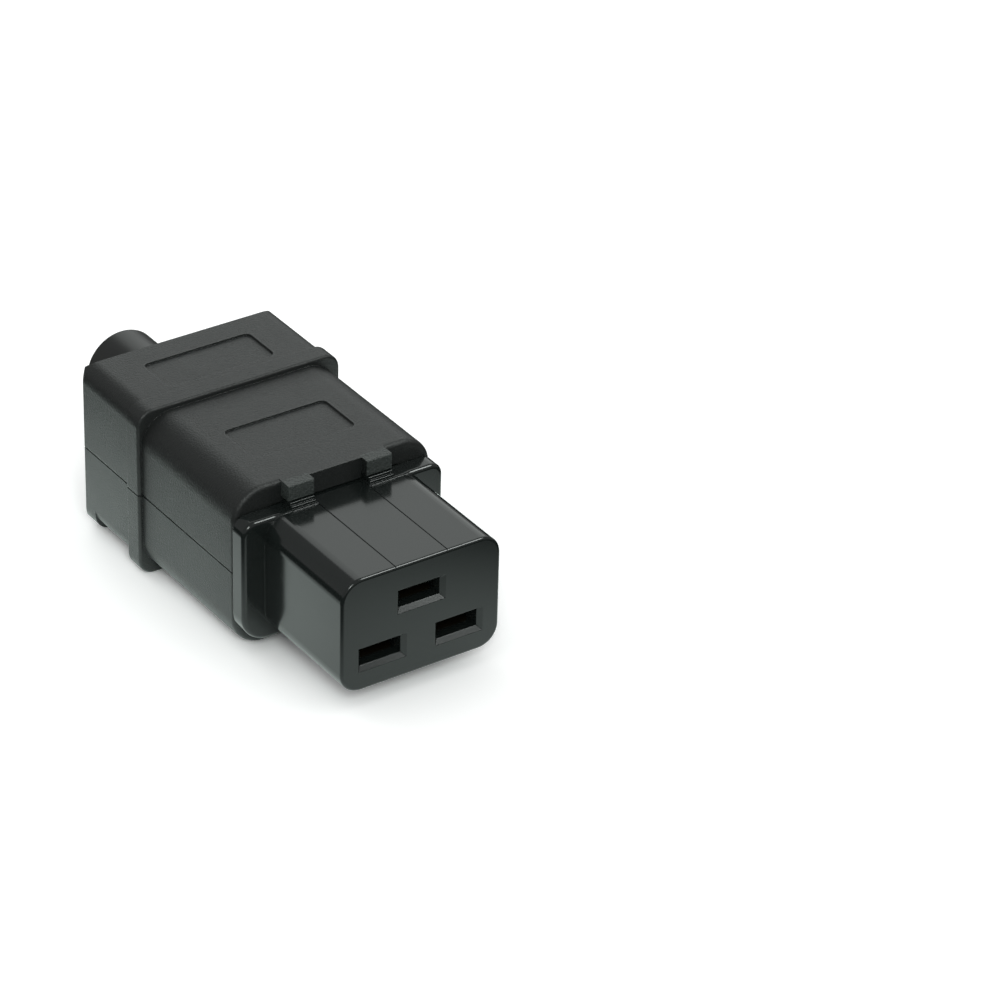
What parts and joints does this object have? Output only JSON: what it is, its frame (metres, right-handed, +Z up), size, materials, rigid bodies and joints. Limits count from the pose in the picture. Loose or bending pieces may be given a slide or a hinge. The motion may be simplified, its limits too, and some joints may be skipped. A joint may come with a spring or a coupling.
{
  "type": "cable-mount power connector",
  "caption": "Rewireable power cord connector with a bladed-slot nose, a two-shell housing, an inner cord clamp and a cable sleeve.",
  "frame": {"origin": "under the middle of the connector, on the plane that the collar stands on", "axes": "+Z up, +Y out of the cable sleeve, mating face towards -Y, +X to the right seen from the mating face"},
  "size_m": [0.0368, 0.0884, 0.0295],
  "materials": {
    "housing_plastic": "spark-eroded moulded thermoplastic, dark grey, half matt",
    "insert_plastic": "moulded thermoplastic, dark grey, smoother than the housing",
    "sleeve_plastic": "moulded thermoplastic, dark grey",
    "clamp_plastic": "moulded thermoplastic, dark grey",
    "contact_brass": "stamped and folded brass strip",
    "plated_steel": "zinc-plated steel"
  },
  "bodies": {
    "root": {"upper_shell": "housing_plastic", "lower_shell": "housing_plastic", "nose_insert": "insert_plastic", "cable_sleeve": "sleeve_plastic", "cord_clamp_bar": "clamp_plastic", "line_contact": "contact_brass", "neutral_contact": "contact_brass", "earth_contact": "contact_brass", "line_clamp_plate": "plated_steel", "neutral_clamp_plate": "plated_steel", "earth_clamp_plate": "plated_steel", "terminal_screws": "plated_steel", "cord_clamp_screws": "plated_steel", "housing_screws": "plated_steel"}
  },
  "joints": []
}
